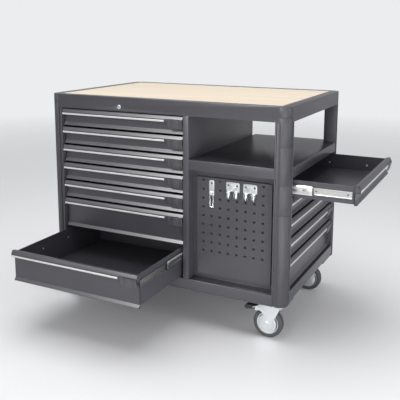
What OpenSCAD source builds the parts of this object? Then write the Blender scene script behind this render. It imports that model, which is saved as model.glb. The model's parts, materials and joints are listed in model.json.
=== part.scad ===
// Mobile workbench: a wheeled steel cabinet with a timber top, seven drawers in
// the front, five drawers in the right end, an open corner shelf and a perforated panel.
// Source axes: X along the front, Y from the front plane inwards, Z up from the floor.

/* [Cabinet] */
// width over the corner covers
cabinet_w = 1138; // [1000:1:1500]
// depth over the corner covers
cabinet_d = 740; // [700:1:900]
// height from the underside of the base to the top surface
cabinet_h = 807; // [780:1:950]
// height of the underside of the base above the floor
caster_h = 160; // [158:1:170]
// thickness of the frame steel
frame_t = 3; // [2:0.5:4]
// running clearance, on the radius, of every pin in its bore
fit_gap = 0.05; // [0.02:0.01:0.1]

/* [Corner posts] */
// width of a corner post with its flange
post_w = 58; // [52:1:70]
// visible width of the flange beside the cover
flange_w = 6; // [5:0.5:10]
// width of the corner cover along each face
cover_w = 42; // [41:1:48]
// thickness of the corner cover
cover_t = 4; // [3:0.5:5]
// radius of the rounded corner
corner_r = 38; // [25:1:40]
// height of the cap above the cover
cap_h = 44; // [30:1:55]
// gap between the cap, the cover and the steel beside them
seam = 0.6; // [0.4:0.1:1.5]
// depth of the joint lines in the cover
groove_d = 1.5; // [0.5:0.1:2]
// width of the joint lines in the cover
groove_w = 3; // [1:0.5:4]
// distance of the ends of the joint lines from the edges of the cover
groove_end = 9; // [4:1:14]
// depths below the top surface of the three joint lines
joint_drops = [158, 310, 429];
// width of the flute along each face of the cover
flute_w = 4; // [2:0.5:6]

/* [Worktop] */
// height of the steel apron round the top
apron_h = 61; // [50:1:80]
// width of the steel rim at the sides and the back
rim_w = 42; // [30:1:60]
// width of the steel rim along the front
rim_front_w = 34; // [20:1:60]
// thickness of the timber board
board_t = 25; // [18:1:28]

/* [Bays] */
// clear width of the front drawer bay
front_bay_w = 623; // [560:1:640]
// width of the upright between the two front bays
mullion_w = 26; // [20:1:40]
// clear height of the open compartment
compartment_h = 180; // [150:1:185]
// height of the rails round the shelf
shelf_rail_h = 43; // [35:1:60]
// height of the front and back base rails
base_rail_h = 47; // [40:1:60]
// height of the left and right base rails
side_rail_h = 44; // [35:1:60]
// how far the side rails and the base pan sit above the front rail
rail_lift = 11.5; // [8:0.5:20]
// depth of the lips on the side and back base rails
lip_w = 16; // [10:1:30]
// distance of the back panel from the back plane
back_inset = 40; // [30:1:50]

/* [Drawer fronts] */
// height of a tall front cell as a multiple of a small one
front_tall_ratio = 1.7; // [1.5:0.05:2]
// height of the lowest cell in the right end as a multiple of the others
side_tall_ratio = 1.6; // [1.4:0.05:2]
// gap above each drawer front
top_gap = 4.4; // [3:0.1:8]
// cell height that the front leaves free
front_clear = 5.9; // [5.5:0.1:12]
// gap at each end of a drawer front
side_gap = 3; // [2:0.5:6]
// thickness of the drawer steel
sheet_t = 1.5; // [1:0.1:2]
// depth of a whole front, back plate included
front_depth = 25.5; // [22:0.5:30]
// depth of the flat face behind the frame plane
face_inset = 22; // [18:0.5:22]
// height of the sloping lip along the bottom of a front
lip_run = 13.8; // [8:0.1:20]
// how far the sloping lip stands out from the flat face
lip_out = 10; // [6:0.5:14]
// height of the pull band at the top of a front
band_h = 27.5; // [24:0.5:30]
// height of the slope along the top of the pull band
band_slope = 14; // [8:0.5:15]
// how far the top edge of the pull band lies behind its face
band_back = 8; // [4:0.5:9]
// top of the light strip below the top of the front
strip_drop = 19; // [14:0.1:19.5]
// height of the light strip
strip_h = 7.3; // [5:0.1:8]
// thickness of the light strip
strip_t = 1.5; // [1:0.1:2.5]

/* [Latch levers] */
// width of the latch lever
latch_w = 77; // [50:1:110]
// top of the lever below the top of the front
latch_drop = 15; // [14.8:0.1:17]
// height of the lever at its right end
latch_h = 40; // [30:1:44]
// how much shorter the lever is at its left end
latch_rise = 9; // [2:0.5:12]
// slant of the left edge of the lever
latch_slant = 5; // [3:0.5:12]
// length of the slope between the left edge and the lower edge of the lever
latch_slope = 14; // [6:1:24]
// free space between the lever and the end of the strip
latch_gap = 8; // [5:0.5:15]
// diameter of the lever pin
latch_pin_d = 3.9; // [3:0.1:4.2]

/* [Trays and slides] */
// depth of the front trays
front_tray_d = 590; // [450:1:620]
// free depth behind the trays in the right end
side_tray_clear = 30.5; // [20:0.5:60]
// top of a tray below the top of its front
tray_drop = 5; // [3:0.5:10]
// tray floor above the bottom of its front
tray_lift = 3; // [2:0.5:6]
// width of the folded edge along the top of the tray sides
hem_w = 4; // [3:0.5:6]
// space between tray and cabinet for one slide
slide_w = 13; // [12.7:0.1:14]
// height of the member on the drawer
member_h = 27; // [24:0.5:30]
// centre of the slides below the top of the front
slide_drop = 41; // [40:0.5:44]
// how far the front end of the drawer member lies behind the front plane
member_inset = 35; // [30:1:45]
// travel of a front drawer, which is also the length of its slide members
front_travel = 560; // [450:1:575]
// how far the lowest front drawer stands open, as a share of its travel
front_open_share = 0.646; // [0:0.001:0.98]
// how far the top side drawer stands open, as a share of its travel
side_open_share = 0.782; // [0:0.001:0.98]

/* [Perforated panel and hooks] */
// distance between neighbouring holes
peg_pitch = 38; // [25:1:40]
// diameter of the holes
peg_d = 10; // [6:0.5:12]
// first hole column from the left edge of the bay
peg_x = 50; // [40:1:60]
// first hole row below the shelf rail
peg_z = 45; // [42:1:60]
// least distance of the last hole column from the right edge of the bay
peg_edge = 50; // [40:1:60]
// least height left plain under the last hole row
peg_blank = 110; // [90:1:125]
// depth of the perforated field behind the front plane
peg_recess = 42; // [30:1:44]
// border beside and under the field
field_side = 20; // [10:1:30]
// border above the field
field_top = 32; // [10:1:36]
// thickness of the hook plates
hook_t = 2; // [1.5:0.1:3]

/* [Casters] */
// diameter of the wheels
wheel_d = 125; // [100:1:128]
// width of the tyre
wheel_w = 32; // [24:1:34]
// diameter of the rim inside the tyre
rim_d = 92; // [70:1:96]
// distance between swivel axis and wheel axis
trail = 24; // [20:1:40]
// distance of the swivel axis from the side of the cabinet
caster_side = 65; // [60:1:75]
// distance of the front swivel axes from the front
caster_front = 63; // [60:1:75]
// distance of the rear swivel axes from the back
caster_back = 128; // [60:1:180]
// side of the square mounting plate
plate_w = 104; // [90:1:115]
// thickness of the mounting plate
plate_t = 6; // [4:0.5:8]
// diameter of the swivel pin
king_d = 12; // [10:0.5:16]
// diameter of the wheel axle
axle_d = 12; // [8:0.5:16]
// thickness of the fork legs
leg_t = 3; // [2.5:0.5:5]
// radius of the round cheek at the foot of a leg
cheek_r = 40; // [30:1:42]
// diameter of the pin of the brake pedal
brake_pin_d = 6; // [4:0.5:8]

/* [Lock] */
// centre of the lock from the left side
lock_x = 371; // [150:1:600]
// centre of the lock below the top surface
lock_drop = 42; // [40:1:45]
// diameter of the lock rosette
rosette_d = 19; // [16:1:24]
// diameter of the lock barrel
barrel_d = 16; // [14:0.5:18]
// diameter of the turning plug
plug_d = 11; // [9:0.5:12]

/* [Hidden] */
$fn = 64;
z0 = caster_h;
zt = caster_h + cabinet_h;
apron_z = zt - apron_h;
sill_z = apron_z - compartment_h;
panel_top_z = sill_z - shelf_rail_h;
base_z = z0 + base_rail_h;
pan_z = z0 + rail_lift;
pan_top = pan_z + frame_t;
side_z = pan_z + side_rail_h;
bay_x = post_w;
mull_x = bay_x + front_bay_w;
right_x = mull_x + mullion_w;
right_end = cabinet_w - post_w;
side_bay_w = cabinet_d - 2 * post_w;
back_y = cabinet_d - back_inset;
small_pitch = (apron_z - base_z) / (5 + 2 * front_tall_ratio);
tall_pitch = small_pitch * front_tall_ratio;
side_pitch = (panel_top_z - side_z) / (4 + side_tall_ratio);
side_tall_pitch = side_pitch * side_tall_ratio;
// travel of a side drawer, which is also the length of its slide members
side_tray_d = cabinet_w - right_x - front_depth - side_tray_clear;
side_travel = side_tray_d - member_inset;
front_open = front_travel * front_open_share;
side_open = side_travel * side_open_share;
peg_cols = floor((right_end - right_x - peg_x - peg_edge) / peg_pitch) + 1;
peg_rows = floor((panel_top_z - base_z - peg_z - peg_blank) / peg_pitch) + 1;
ceiling_z = zt - board_t - frame_t;
// pivot of the brake pedal, measured from the wheel axle, and the length of the pedal
ped_x = -56;
ped_z = 58;
pedal_l = 46;
// box of the whole as it stands, with the open drawers and the pedals
x_max = cabinet_w + side_open;
x_min = caster_side - trail + ped_x - pedal_l;
y_min = -front_open;
centre = [(x_min + x_max) / 2, (y_min + cabinet_d) / 2, 0];
// liner walls that carry the slides
liner_y = post_w - frame_t - 0.5;
// drawer front profile
end_in = side_gap + sheet_t;
win_top = 13.2;
win_bottom = band_h + 5.5;
pin_d_in = 5.2;
pin_k = 19;
knuckle_r = 3.6;
lever_t = 2.2;
lug_t = 2;
lug_gap = 0.5;
// nested slide members
web_t = 1.5;
mid_h = member_h + 9;
cab_h = member_h + 18;
nest_gap = 0.3;
mid_start = 56;
cab_start = 42;
front_mid_l = front_travel;
front_cab_l = front_travel + 40;
side_mid_l = side_travel - 10;
side_cab_l = side_travel + 15;
// centres of the holes in the members of a slide, behind their front ends
member_holes = [16, 140];
mid_holes = [36, 92];
slide_hole_d = 7;
// hook plates, their wires and the prongs that hold them in the panel
plate_r = 6;
hole_drop = 13;
plate_hole_r = 4.5;
wire_r = 1.5;
wire_sink = 0.4;
end_r = 1.8;
prong_r = 2.5;
prong_in = 5;
prong_up = 8;
prong_drop = 4;
long_plate = [23, 64];
short_plate = [60, 37];
loop_half = 7;
loop_low = -50;
loop_high = 14;
clip_r = 9;
clip_mouth = 8;
clip_h = 26;
clip_drop = 28;
clip_half = 17;
// casters
axle_z = wheel_d / 2;
plate_z = z0 - plate_t;
crown_t = 4;
crown_top = axle_z + 82;
crown_z = crown_top - crown_t;
leg_in = 20;
race_r = 28;
race_t = 3;
race_gap = 0.6;
king_head_t = 5;
bolt_in = 12;
bolt_r = 7;
bolt_h = 5;
// lock
rosette_t = 1.5;
plug_out = 2.2;
barrel_l = 20;
cam_gap = 0.4;
cam = [10, 18, 2.4];
cam_back = 4;
key_slot = [1.4, 6.4];
dark = [0.29, 0.3, 0.32];
light = [0.8, 0.81, 0.83];

// moves the source axes to the middle of the footprint as it stands
module place() translate([-centre.x, -centre.y, 0]) children();

// a box given by two opposite corners
module box(a, b) translate(a) cube([b.x - a.x, b.y - a.y, b.z - a.z]);

// a profile drawn as [depth, height], drawn out along X from x0 to x1
module along_x(x0, x1) translate([x0, 0, 0]) rotate([90, 0, 90]) linear_extrude(x1 - x0) children();

// a profile drawn as [x, z], drawn out along Y from y0 to y1
module along_y(y0, y1) translate([0, y1, 0]) rotate([90, 0, 0]) linear_extrude(y1 - y0) children();

// a folded sheet: the outer line and the same line set in by the thickness
function leg(p, i) = (p[i + 1] - p[i]) / norm(p[i + 1] - p[i]);
function left(v) = [-v.y, v.x];
function inner(p, i, t) =
    i == 0 ? p[0] + t * left(leg(p, 0)) :
    i == len(p) - 1 ? p[i] + t * left(leg(p, i - 1)) :
    p[i] + t * (left(leg(p, i - 1)) + left(leg(p, i))) / (1 + leg(p, i - 1) * leg(p, i));
function sheet(p, t) = concat(p, [for (i = [len(p) - 1 : -1 : 0]) inner(p, i, t)]);

// repeats its child at the four corners, turned so that +X and +Y point inwards
module corners()
    for (mx = [0, 1], my = [0, 1])
        translate([mx * cabinet_w, my * cabinet_d, 0]) mirror([mx, 0, 0]) mirror([0, my, 0]) children();

// a square corner piece with the rounded outer corner, set in from the outer faces
module corner_plan(inset, w)
    intersection() {
        translate([inset, inset]) square(w - inset);
        union() {
            translate([corner_r, inset]) square(w);
            translate([inset, corner_r]) square(w);
            translate([corner_r, corner_r]) circle(corner_r - inset);
        }
    }

module worktop_board()
    color([0.87, 0.76, 0.58]) place()
        box([rim_w, rim_front_w, zt - board_t], [cabinet_w - rim_w, cabinet_d - rim_w, zt]);

// plan of the apron, set in by a thickness, with the pockets for the corner covers
module apron_plan(inset)
    difference() {
        translate([inset, inset]) square([cabinet_w - 2 * inset, cabinet_d - 2 * inset]);
        corners() difference() {
            translate([-1, -1]) square(cover_w + seam + inset + 1);
            corner_plan(cover_t + inset, 2 * post_w);
        }
    }

module top_frame()
    color(dark) place() difference() {
        union() {
            difference() {
                translate([0, 0, apron_z]) linear_extrude(apron_h - frame_t) apron_plan(0);
                translate([0, 0, apron_z - 1]) linear_extrude(apron_h) apron_plan(frame_t);
            }
            translate([0, 0, zt - frame_t]) linear_extrude(frame_t) difference() {
                square([cabinet_w, cabinet_d]);
                corners() difference() {
                    translate([-1, -1]) square(corner_r + 1);
                    translate([corner_r, corner_r]) circle(corner_r);
                }
            }
            box([rim_w - frame_t, rim_front_w - frame_t, ceiling_z],
                [cabinet_w - rim_w + frame_t, cabinet_d - rim_w + frame_t, zt]);
        }
        box([rim_w, rim_front_w, zt - board_t], [cabinet_w - rim_w, cabinet_d - rim_w, zt + 1]);
        along_y(-1, frame_t + 1) translate([lock_x, zt - lock_drop]) circle(barrel_d / 2 + fit_gap);
    }

module corner_posts()
    color(dark) place() corners() translate([0, 0, z0]) linear_extrude(apron_z - z0) difference() {
        union() {
            corner_plan(cover_t, post_w);
            translate([post_w - flange_w, 0]) square([flange_w, cover_t + 1]);
            translate([0, post_w - flange_w]) square([cover_t + 1, flange_w]);
        }
        corner_plan(cover_t + frame_t, post_w - frame_t);
    }

// plan of the shell that wraps a corner
module cover_plan()
    difference() {
        corner_plan(0, cover_w);
        corner_plan(cover_t, post_w);
    }

module corner_bumpers() {
    top = zt - cap_h - seam;
    color(dark) place() corners() {
        translate([0, 0, zt - cap_h]) linear_extrude(cap_h - frame_t) cover_plan();
        difference() {
            translate([0, 0, z0]) linear_extrude(top - z0) cover_plan();
            for (d = joint_drops)
                translate([0, 0, zt - d - groove_w / 2]) linear_extrude(groove_w) difference() {
                    translate([-1, -1]) square(cover_w - groove_end + 1);
                    corner_plan(groove_d, 2 * post_w);
                }
            for (a = [30, 45, 60])
                translate([corner_r, corner_r, zt - joint_drops[1]]) rotate(180 + a)
                    translate([corner_r - groove_d, -groove_w / 2, 0])
                        cube([2 * groove_d, groove_w, joint_drops[1] - joint_drops[0]]);
            for (m = [0, 1])
                mirror([m, -m, 0]) translate([cover_w - 2 * flute_w, -1, z0 - 1])
                    cube([flute_w, 1 + groove_d, top - z0 - 30]);
        }
    }
}

module panels() {
    color(dark) place() {
        box([2 * frame_t, post_w, side_z], [3 * frame_t, cabinet_d - post_w, apron_z]);
        box([post_w - frame_t, post_w, pan_top], [post_w, cabinet_d - post_w, ceiling_z]);
        box([bay_x, back_y - frame_t, pan_top], [mull_x, back_y, ceiling_z]);
        box([right_x, liner_y, pan_top], [right_end, post_w, sill_z - frame_t]);
        box([right_x, cabinet_d - post_w, pan_top],
            [right_end, cabinet_d - post_w + frame_t, sill_z - frame_t]);
    }
}

module divider()
    color(dark) place() difference() {
        union() {
            box([mull_x, 0, base_z], [right_x, back_y, apron_z]);
            box([mull_x, frame_t, pan_top], [right_x, back_y, ceiling_z]);
        }
        box([mull_x + sheet_t, sheet_t, pan_top - 1],
            [right_x - sheet_t, back_y - sheet_t, ceiling_z + 1]);
    }

module base_frame()
    color(dark) place() difference() {
        union() {
            box([frame_t, frame_t, pan_z], [cabinet_w - frame_t, cabinet_d - frame_t, pan_top]);
            box([post_w, 0, z0], [right_end, frame_t, base_z]);
            box([post_w, cabinet_d - frame_t, z0], [right_end, cabinet_d, base_z]);
            box([post_w, 0, base_z - frame_t], [right_end, liner_y, base_z]);
            box([post_w, cabinet_d - lip_w, base_z - frame_t], [right_end, cabinet_d, base_z]);
            for (m = [0, 1]) translate([m * cabinet_w, 0, 0]) mirror([m, 0, 0]) {
                box([0, post_w, pan_z], [frame_t, cabinet_d - post_w, side_z]);
                box([0, post_w, side_z - frame_t], [lip_w, cabinet_d - post_w, side_z]);
                box([frame_t, frame_t, z0], [2 * post_w, 2 * post_w, pan_z + 1]);
                box([frame_t, cabinet_d - caster_back - post_w, z0],
                    [2 * post_w, cabinet_d - frame_t, pan_z + 1]);
            }
        }
        corners() translate([-1, -1, z0 - 1]) cube([post_w + 1, post_w + 1, cabinet_h]);
        box([mull_x, frame_t, pan_top], [right_x, back_y, base_z + 1]);
    }

module shelf()
    color(dark) place() difference() {
        box([right_x, 0, panel_top_z], [cabinet_w, cabinet_d, sill_z]);
        difference() {
            box([right_x - 1, frame_t, panel_top_z - 1],
                [cabinet_w - frame_t, cabinet_d - frame_t, sill_z - frame_t]);
            for (y = [0, cabinet_d - post_w - frame_t])
                translate([right_end - frame_t, y, 0]) cube([cabinet_w, post_w + frame_t, cabinet_h]);
        }
        for (y = [-1, cabinet_d - post_w])
            translate([right_end, y, panel_top_z - 1]) cube([post_w + 1, post_w + 1, cabinet_h]);
        for (y = [[liner_y - sheet_t, post_w], [cabinet_d - post_w, cabinet_d - post_w + frame_t]])
            box([right_end - frame_t - 1, y[0], panel_top_z - 1], [right_end + 1, y[1], sill_z - frame_t]);
    }

module pegboard() {
    x0 = right_x + field_side;
    x1 = right_end - field_side;
    top = panel_top_z - field_top;
    low = base_z + field_side;
    color(dark) place() difference() {
        union() {
            box([right_x, liner_y - sheet_t, base_z], [right_end, liner_y, panel_top_z + 12]);
            box([x0, peg_recess, low], [x1, liner_y, top]);
        }
        box([x0 + sheet_t, peg_recess + sheet_t, low + sheet_t], [x1 - sheet_t, liner_y + 1, top - sheet_t]);
        for (c = [0 : peg_cols - 1], r = [0 : peg_rows - 1])
            along_y(peg_recess - 1, peg_recess + 2 * sheet_t)
                translate([right_x + peg_x + c * peg_pitch, panel_top_z - peg_z - r * peg_pitch])
                    circle(peg_d / 2);
    }
}

// a hook plate with rounded top corners, its holes and its lower edge at z = 0
module hook_plate(size, holes)
    along_y(-hook_t, 0) difference() {
        w = size[0];
        h = size[1];
        union() {
            translate([-w / 2, 0]) square([w, h - plate_r]);
            translate([-w / 2 + plate_r, 0]) square([w - 2 * plate_r, h]);
            for (s = [-1, 1]) translate([s * (w / 2 - plate_r), h - plate_r]) circle(plate_r);
        }
        for (x = holes) translate([x, h - hole_drop]) circle(plate_hole_r);
    }

// a prong that goes through a panel hole and turns up behind the panel
module prong() {
    translate([0, prong_in, 0]) rotate([90, 0, 0]) cylinder(r = prong_r, h = prong_in + hook_t / 2);
    translate([0, prong_in - wire_r, 0]) cylinder(r = wire_r, h = prong_up);
}

// a spring clip open towards the front
module clip()
    difference() {
        translate([0, -hook_t - clip_r + 1, 0]) difference() {
            cylinder(r = clip_r, h = clip_h);
            translate([0, 0, -1]) cylinder(r = clip_r - hook_t, h = clip_h + 2);
            translate([-clip_mouth / 2, -clip_r - 1, -1]) cube([clip_mouth, clip_r, clip_h + 2]);
        }
        translate([-clip_r, -hook_t + wire_sink, -1]) cube([2 * clip_r, hook_t + 2, clip_h + 2]);
    }

// a long plate with a wire loop in front of its lower end
module wire_hook() {
    hook_plate(long_plate, [0]);
    translate([0, 0, long_plate[1] - prong_drop]) prong();
    translate([0, -hook_t - wire_r + wire_sink, 0]) {
        for (s = [-1, 1])
            translate([s * loop_half, 0, loop_low]) cylinder(r = wire_r, h = loop_high - loop_low);
        for (z = [loop_low, loop_high])
            translate([-loop_half - end_r, 0, z]) rotate([0, 90, 0])
                cylinder(r = end_r, h = 2 * (loop_half + end_r));
    }
}

// a short plate that carries two spring clips
module clip_hook() {
    hook_plate(short_plate, [-peg_pitch / 2, peg_pitch / 2]);
    for (s = [-1, 1]) {
        translate([s * peg_pitch / 2, 0, short_plate[1] - prong_drop]) prong();
        translate([s * clip_half, 0, -clip_drop]) {
            translate([-loop_half, -hook_t, 0]) cube([2 * loop_half, hook_t, clip_drop + 1]);
            translate([0, 0, 0.5]) clip();
        }
    }
}

module peg_hooks()
    color(light) place() translate([right_x + peg_x, peg_recess, panel_top_z - peg_z + prong_drop - 1]) {
        translate([peg_pitch, 0, -long_plate[1]]) wire_hook();
        for (c = [3 : 2 : peg_cols - 3])
            translate([(c + 0.5) * peg_pitch, 0, -short_plate[1]]) clip_hook();
    }

// local axes of the two drawer banks: X along the front, Y inwards
module front_bank() place() translate([bay_x, 0, 0]) children();
module side_bank() place() translate([cabinet_w, post_w, 0]) rotate([0, 0, 90]) children();

// heights of the fronts and of their lower edges
function front_h(i) = (i < 5 ? small_pitch : tall_pitch) - front_clear;
function front_z(i) =
    apron_z - (i < 5 ? i * small_pitch : 5 * small_pitch + (i - 5) * tall_pitch) - top_gap - front_h(i);
function side_h(i) = (i < 4 ? side_pitch : side_tall_pitch) - front_clear;
function side_front_z(i) = panel_top_z - i * side_pitch - top_gap - side_h(i);

// outer line of a drawer front of height h, as [depth, height]
function front_line(h) = [
    [front_depth, h - 3], [12, h], [band_back, h - 1], [strip_t, h - band_slope],
    [strip_t, h - band_h], [face_inset - 4, h - band_h - 1.5], [face_inset, h - band_h - 5.5],
    [face_inset, lip_run + 1], [face_inset - lip_out, 1], [front_depth, 0]];

module drawer_body(bay, h, depth, length) {
    lever_x1 = bay - end_in - lug_gap;
    lever_x0 = lever_x1 - latch_w;
    top = h - tray_drop;
    color(dark) {
        difference() {
            along_x(side_gap, bay - side_gap) polygon(sheet(front_line(h), sheet_t));
            box([lever_x0 - lug_gap, -1, h - win_bottom], [bay - end_in, front_depth - sheet_t, h - win_top]);
        }
        for (x = [side_gap, bay - end_in]) along_x(x, x + sheet_t) polygon(front_line(h));
        box([side_gap, front_depth - sheet_t, 0.5], [bay - side_gap, front_depth, h - 3]);
        along_x(lever_x0 - lug_gap - lug_t, lever_x0 - lug_gap) intersection() {
            polygon(front_line(h));
            translate([0, h - win_bottom]) square([front_depth, win_bottom - 8]);
        }
        difference() {
            box([slide_w, front_depth - sheet_t, tray_lift], [bay - slide_w, front_depth + depth, top]);
            box([slide_w + sheet_t, front_depth, tray_lift + sheet_t],
                [bay - slide_w - sheet_t, front_depth + depth - sheet_t, top - 3]);
            box([slide_w + hem_w, front_depth, top - 4], [bay - slide_w - hem_w, front_depth + depth - hem_w, top + 1]);
        }
    }
    color(light) {
        box([side_gap + 1, 0, h - strip_drop - strip_h], [lever_x0 - latch_gap, strip_t, h - strip_drop]);
        translate([lever_x0 - lug_gap - 1, pin_d_in, h - pin_k]) rotate([0, 90, 0])
            cylinder(d = latch_pin_d, h = latch_w + 3 * lug_gap + 1.5);
        both_sides(bay) translate([0, member_inset, h - slide_drop]) difference() {
            channel(0, 6, member_h, length);
            slide_holes(member_holes, 6);
        }
    }
}

// repeats a slide member on both sides of the tray; local X runs from the tray outwards
module both_sides(bay) {
    translate([bay - slide_w, 0, 0]) children();
    translate([slide_w, 0, 0]) mirror([1, 0, 0]) children();
}

// a slide member with its web beside the tray and its flanges pointing outwards
module channel(s, w, h, length)
    difference() {
        translate([s, 0, -h / 2]) cube([w, length, h]);
        translate([s + web_t, -1, -h / 2 + web_t]) cube([w, length + 2, h - 2 * web_t]);
    }

// a slide member with its web outside and its flanges pointing back to the tray
module cradle(s, w, h, gap_h, length)
    difference() {
        translate([s, 0, -h / 2]) cube([w, length, h]);
        translate([s - 1, -1, -gap_h / 2]) cube([w + 1 - web_t, length + 2, gap_h]);
    }

// round holes across a slide member
module slide_holes(places, w)
    for (y = places) translate([-1, y, 0]) rotate([0, 90, 0]) cylinder(d = slide_hole_d, h = w + 2);

module mid_slides(bay, h, length)
    color(light) both_sides(bay) translate([0, mid_start, h - slide_drop]) difference() {
        cradle(2, 6.1, mid_h, member_h + 2 * nest_gap, length);
        slide_holes(mid_holes, slide_w);
    }

module cabinet_slides(bay, h, length)
    both_sides(bay) translate([0, cab_start, h - slide_drop])
        cradle(4, slide_w - 4, cab_h, mid_h + 2 * nest_gap, length);

module latch_lever(bay, h) {
    x1 = bay - end_in - lug_gap;
    x0 = x1 - latch_w;
    line = [[0, h - latch_drop], [0, h - latch_drop - 9], [8, h - latch_drop - latch_h]];
    color(dark) difference() {
        intersection() {
            union() {
                along_x(x0, x1) polygon(sheet(line, lever_t));
                along_x(x0, x1) translate([pin_d_in, h - pin_k]) circle(knuckle_r);
                box([x0, 1, h - pin_k - knuckle_r], [x1, pin_d_in, h - pin_k + knuckle_r]);
            }
            along_y(-1, front_depth) translate([x0, h - latch_drop]) polygon([
                [0, 0], [latch_w, 0], [latch_w, -latch_h], [latch_slant + latch_slope, -latch_h],
                [latch_slant, -latch_h + latch_rise]]);
        }
        along_x(x0 - 1, x1 + 1) translate([pin_d_in, h - pin_k]) circle(latch_pin_d / 2 + fit_gap);
        for (x = [x0 + latch_slant + latch_slope, x1 - 20, x1 - 14, x1 - 8])
            along_x(x, x + 2) polygon(sheet(line, 0.8));
    }
}

module front_drawer(i) front_bank() translate([0, i == 6 ? -front_open : 0, front_z(i)])
    drawer_body(front_bay_w, front_h(i), front_tray_d, front_travel);
module front_latch(i) front_bank() translate([0, i == 6 ? -front_open : 0, front_z(i)])
    latch_lever(front_bay_w, front_h(i));
module front_slides(i) front_bank() translate([0, i == 6 ? -front_open / 2 : 0, front_z(i)])
    mid_slides(front_bay_w, front_h(i), front_mid_l);
module side_drawer(i) side_bank() translate([0, i == 0 ? -side_open : 0, side_front_z(i)])
    drawer_body(side_bay_w, side_h(i), side_tray_d, side_travel);
module side_latch(i) side_bank() translate([0, i == 0 ? -side_open : 0, side_front_z(i)])
    latch_lever(side_bay_w, side_h(i));
module side_slides(i) side_bank() translate([0, i == 0 ? -side_open / 2 : 0, side_front_z(i)])
    mid_slides(side_bay_w, side_h(i), side_mid_l);

module cabinet_rails()
    color(light) {
        for (i = [0 : 6]) front_bank() translate([0, 0, front_z(i)])
            cabinet_slides(front_bay_w, front_h(i), front_cab_l);
        for (i = [0 : 4]) side_bank() translate([0, 0, side_front_z(i)])
            cabinet_slides(side_bay_w, side_h(i), side_cab_l);
    }

// local axes of a caster: the origin on the floor under the swivel axis
module at_caster(right, rear)
    place() translate([right ? cabinet_w - caster_side : caster_side,
                       rear ? cabinet_d - caster_back : caster_front, 0]) children();

module caster_plates()
    color(light) for (right = [false, true], rear = [false, true]) at_caster(right, rear) {
        king_low = crown_z - race_gap - king_head_t;
        translate([-plate_w / 2, -plate_w / 2, plate_z]) cube([plate_w, plate_w, plate_t]);
        translate([0, 0, plate_z - race_t]) cylinder(r = race_r + 2, h = race_t + 1);
        translate([0, 0, king_low]) cylinder(d = king_d, h = plate_z - king_low + 1);
        translate([0, 0, king_low]) cylinder(d = king_d + 8, h = king_head_t);
        for (x = [-1, 1], y = [-1, 1])
            translate([x * (plate_w / 2 - bolt_in), y * (plate_w / 2 - bolt_in), plate_z - bolt_h])
                linear_extrude(bolt_h + 1) polygon([for (a = [0 : 60 : 300]) bolt_r * [cos(a), sin(a)]]);
    }

// side outline of a fork leg as [x, z] from the wheel axle
module leg_plan(braked)
    union() {
        circle(cheek_r);
        polygon(concat(
            [[-18, 39]],
            braked ? [[-24, 48], [-34, 53], [-49, 49], [-63, 57], [-63, 63], [-46, 70], [-28, 78]]
                   : [[-16, 50], [-10, 66], [-12, 76]],
            [[-10, 82], [trail + 30, 82], [trail + 30, 72], [35, 31], [0, 0]]));
    }

module fork(right, rear, braked)
    color(light) at_caster(right, rear) difference() {
        plate_x = braked ? -trail - 14 : -trail - 8;
        union() {
            translate([-trail, 0, axle_z]) {
                for (s = [-1, 1]) translate([0, s * (leg_in + leg_t / 2) - leg_t / 2, 0])
                    along_y(0, leg_t) leg_plan(braked);
                translate([0, leg_in + leg_t + 3, 0]) rotate([90, 0, 0])
                    cylinder(d = axle_d, h = 2 * (leg_in + leg_t + 3));
                for (y = [-leg_in - leg_t, leg_in + leg_t + 4])
                    translate([0, y, 0]) rotate([90, 0, 0]) cylinder(d = axle_d + 8, h = 4);
                if (braked) translate([ped_x, leg_in + 1, ped_z]) rotate([90, 0, 0])
                    cylinder(d = brake_pin_d, h = 2 * leg_in + 2);
            }
            translate([plate_x, -leg_in - 1, crown_z]) cube([30 - plate_x, 2 * leg_in + 2, crown_t]);
            translate([0, 0, crown_z]) cylinder(r = race_r, h = plate_z - race_t - race_gap - crown_z);
        }
        translate([0, 0, crown_z - 1]) cylinder(d = king_d + 2 * fit_gap, h = 30);
    }

module wheel(right, rear)
    at_caster(right, rear) translate([-trail, 0, axle_z]) rotate([90, 0, 0]) {
        hub = leg_in - 1;
        bore = axle_d / 2 + fit_gap;
        color([0.75, 0.75, 0.77]) rotate_extrude() polygon([
            [bore, -hub], [16, -hub], [18, -8], [rim_d / 2 - 6, -7], [rim_d / 2 - 4, -wheel_w / 2 + 2],
            [rim_d / 2, -wheel_w / 2 + 2], [rim_d / 2, wheel_w / 2 - 2], [rim_d / 2 - 4, wheel_w / 2 - 2],
            [rim_d / 2 - 6, 7], [18, 8], [16, hub], [bore, hub]]);
        color([0.1, 0.1, 0.1]) rotate_extrude() polygon([
            [rim_d / 2, -wheel_w / 2 + 2], [rim_d / 2 + 3, -wheel_w / 2], [wheel_d / 2 - 7, -wheel_w / 2],
            [wheel_d / 2 - 2, -wheel_w / 2 + 4], [wheel_d / 2, -wheel_w / 4], [wheel_d / 2, wheel_w / 4],
            [wheel_d / 2 - 2, wheel_w / 2 - 4], [wheel_d / 2 - 7, wheel_w / 2],
            [rim_d / 2 + 3, wheel_w / 2], [rim_d / 2, wheel_w / 2 - 2]]);
    }

module brake(right)
    color([0.08, 0.08, 0.09]) at_caster(right, false) translate([ped_x - trail, 0, ped_z + axle_z])
        difference() {
            w = leg_in - 2;
            along_y(-w, w) union() {
                circle(brake_pin_d / 2 + 2.5);
                polygon([[0, -5.5], [0, 5.5], [-14, 9], [-pedal_l + 6, 6], [-pedal_l, -1],
                         [-pedal_l + 3, -10], [-pedal_l + 12, -12]]);
            }
            along_y(-w - 1, w + 1) circle(brake_pin_d / 2 + fit_gap);
        }

module at_lock() place() translate([lock_x, 0, zt - lock_drop]) rotate([-90, 0, 0]) children();

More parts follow.
